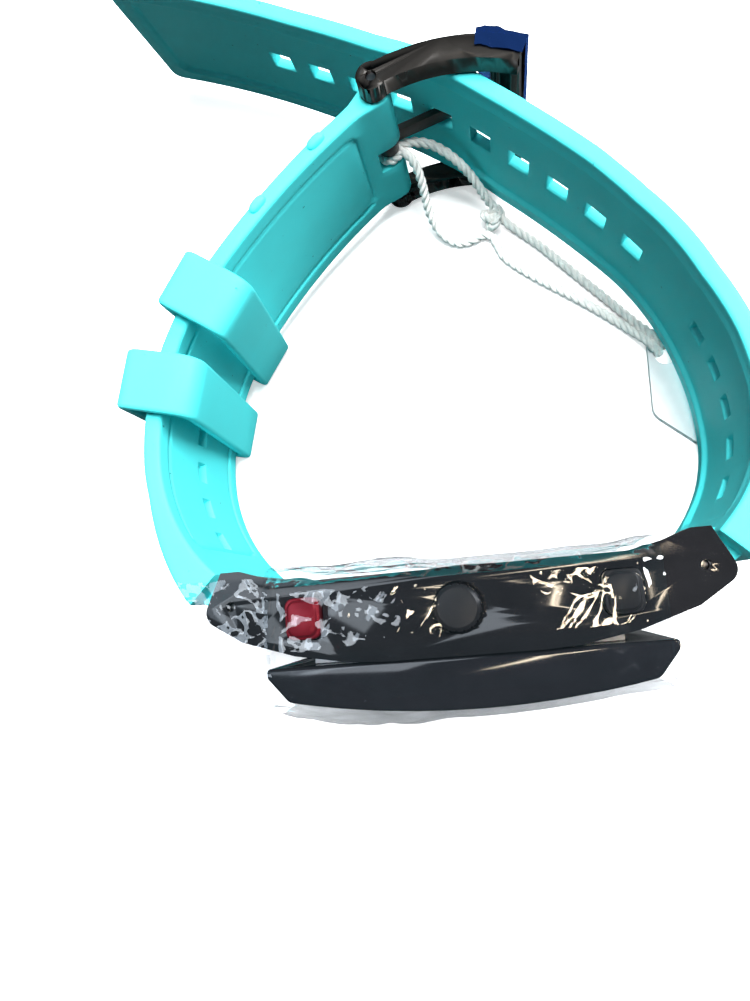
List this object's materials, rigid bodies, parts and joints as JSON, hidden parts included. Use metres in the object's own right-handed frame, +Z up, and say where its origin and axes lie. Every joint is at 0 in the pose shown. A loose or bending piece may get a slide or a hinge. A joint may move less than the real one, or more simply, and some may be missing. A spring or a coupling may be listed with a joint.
{
  "type": "fitness tracker band",
  "caption": "Rugged wrist tracker on a buckled turquoise silicone strap with keepers, side buttons, crown, clear protective film and a string tag.",
  "frame": {"origin": "on the side face that the case rests on, midway between the two spring bars and level with them", "axes": "+X along the case from lug to lug, +Y from the case to the buckle, +Z up, across the width of the strap"},
  "size_m": [0.087, 0.0969, 0.0309],
  "materials": {
    "case_shell": "glossy black moulded resin",
    "bezel_gloss": "polished black moulded resin",
    "cover_glass": "clear, polished",
    "display": "black display, switched off",
    "seal_rubber": "soft black seal",
    "alloy": "bead blasted",
    "circuit_board": "green solder mask",
    "chip_black": "black moulded epoxy",
    "steel": "fine brushed",
    "battery_wrap": "foil pouch",
    "brass_weight": "machined",
    "flex_film": "amber flexible circuit",
    "led_clear": "clear lens",
    "sensor_glass": "smoked dark red window",
    "gold_contact": "gold plated",
    "red_cap": "dark red anodised",
    "black_cap": "black anodised",
    "white_plastic": "moulded acetal",
    "silicone": "turquoise silicone, fine satin mould texture",
    "buckle_black": "satin black plating",
    "film_blue": "deep blue protective film",
    "film_clear": "clear stretched film, creased",
    "cotton": "twisted cotton string",
    "card": "white card, plain"
  },
  "bodies": {
    "root": {"mid_case": "case_shell", "bezel": "bezel_gloss", "cover_glass": "cover_glass", "display_seal": "seal_rubber", "display_panel": "display", "inner_frame": "alloy", "main_board": "circuit_board", "board_chips": "chip_black", "shield_can": "steel", "battery": "battery_wrap", "motor_can": "steel", "switch_board": "flex_film", "switch_bodies": "steel", "back_seal": "seal_rubber", "back_cover": "case_shell", "back_screws": "steel", "sensor_board": "circuit_board", "sensor_leds": "led_clear", "light_baffle": "chip_black", "sensor_window": "sensor_glass", "charging_pins": "gold_contact", "red_spring": "steel", "red_seal": "seal_rubber", "black_spring": "steel", "black_seal": "seal_rubber", "crown_tube": "steel", "crown_seal": "seal_rubber", "bar_tubes": "steel", "bar_tips": "steel", "buckle_strap": "silicone", "tail_strap": "silicone", "buckle_pin": "steel", "case_film": "film_clear", "film_flap_left": "film_clear", "film_flap_right": "film_clear", "film_flap_top": "film_clear", "string_turns": "cotton", "string_a": "cotton", "string_b": "cotton", "string_knot": "cotton", "hang_tag": "card"},
    "red_button": {"red_button": "red_cap", "red_clip": "steel", "red_plunger": "white_plastic"},
    "black_button": {"black_button": "black_cap", "black_clip": "steel", "black_plunger": "white_plastic"},
    "crown_slide": {"crown_slider": "white_plastic", "crown_plunger": "white_plastic"},
    "crown": {"crown_knob": "black_cap", "crown_shaft": "steel", "crown_clip": "steel"},
    "motor_rotor": {"motor_shaft": "steel", "motor_weight": "brass_weight"},
    "buckle": {"buckle_frame": "buckle_black", "buckle_film": "film_blue"},
    "tongue": {"buckle_tongue": "buckle_black"},
    "keeper_upper": {"keeper_upper": "silicone"},
    "keeper_lower": {"keeper_lower": "silicone"}
  },
  "joints": [
    {"name": "red_button_press", "type": "slide", "parent": "root", "child": "red_button", "axis": [0, 0, -1], "range_m": [0, 0.0006], "stiffness_N_per_m": 200, "springref_m": -0.002, "deforming": ["red_spring"]},
    {"name": "black_button_press", "type": "slide", "parent": "root", "child": "black_button", "axis": [0, 0, -1], "range_m": [0, 0.0006], "stiffness_N_per_m": 200, "springref_m": -0.002, "deforming": ["black_spring"]},
    {"name": "crown_press", "type": "slide", "parent": "root", "child": "crown_slide", "axis": [0, 0, -1], "range_m": [0, 0.0005], "stiffness_N_per_m": 200, "springref_m": -0.002},
    {"name": "crown_turn", "type": "hinge", "parent": "crown_slide", "child": "crown", "pos_m": [0, -0.002, 0.029], "axis": [0, 0, 1], "continuous": true},
    {"name": "motor_spin", "type": "hinge", "parent": "root", "child": "motor_rotor", "pos_m": [0.012, -0.0021, 0.011], "axis": [1, 0, 0], "continuous": true},
    {"name": "buckle_swing", "type": "hinge", "parent": "root", "child": "buckle", "pos_m": [-0.00387, 0.0576, 0.014], "axis": [0, 0, 1], "range_deg": [-1.2, 1.2]},
    {"name": "tongue_swing", "type": "hinge", "parent": "root", "child": "tongue", "pos_m": [-0.00387, 0.0576, 0.014], "axis": [0, 0, 1], "range_deg": [0, 0.8]},
    {"name": "keeper_upper_slide", "type": "hinge", "parent": "root", "child": "keeper_upper", "pos_m": [0.0003, 0.0175, 0.014], "axis": [0, 0, -1], "range_deg": [-4, 3]},
    {"name": "keeper_lower_slide", "type": "hinge", "parent": "root", "child": "keeper_lower", "pos_m": [0.0003, 0.0175, 0.014], "axis": [0, 0, -1], "range_deg": [-8, 4]}
  ]
}
